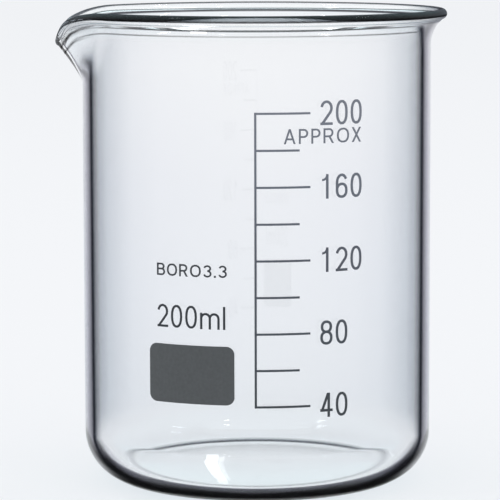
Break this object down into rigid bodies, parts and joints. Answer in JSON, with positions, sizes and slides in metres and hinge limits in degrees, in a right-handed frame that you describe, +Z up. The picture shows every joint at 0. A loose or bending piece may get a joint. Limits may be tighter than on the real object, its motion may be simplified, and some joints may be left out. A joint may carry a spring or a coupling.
{
  "type": "beaker",
  "caption": "Low-form glass beaker with a beaded, flared rim, a pouring spout, a round-cornered base and a grey printed scale with a patch to write on.",
  "frame": {"origin": "on the axis of the wall, in the plane of the flat base the beaker stands on", "axes": "+Z up along the axis of the wall; -Y towards the printed front; -X towards the spout"},
  "size_m": [0.074, 0.072, 0.0898],
  "materials": {
    "borosilicate_glass": "clear, fire-polished",
    "enamel_print": "fired screen-printed enamel, satin"
  },
  "bodies": {
    "root": {"glass_body": "borosilicate_glass", "graduation_comb": "enamel_print", "marking_patch": "enamel_print", "volume_200_1": "enamel_print", "volume_200_2": "enamel_print", "volume_200_3": "enamel_print", "volume_160_1": "enamel_print", "volume_160_2": "enamel_print", "volume_160_3": "enamel_print", "volume_120_1": "enamel_print", "volume_120_2": "enamel_print", "volume_120_3": "enamel_print", "volume_80_1": "enamel_print", "volume_80_2": "enamel_print", "volume_40_1": "enamel_print", "volume_40_2": "enamel_print", "approx_1": "enamel_print", "approx_2": "enamel_print", "approx_3": "enamel_print", "approx_4": "enamel_print", "approx_5": "enamel_print", "approx_6": "enamel_print", "capacity_1": "enamel_print", "capacity_2": "enamel_print", "capacity_3": "enamel_print", "capacity_4": "enamel_print", "capacity_5": "enamel_print", "glass_type_1": "enamel_print", "glass_type_2": "enamel_print", "glass_type_3": "enamel_print", "glass_type_4": "enamel_print", "glass_type_5": "enamel_print", "glass_type_6": "enamel_print", "glass_type_7": "enamel_print"}
  },
  "joints": []
}
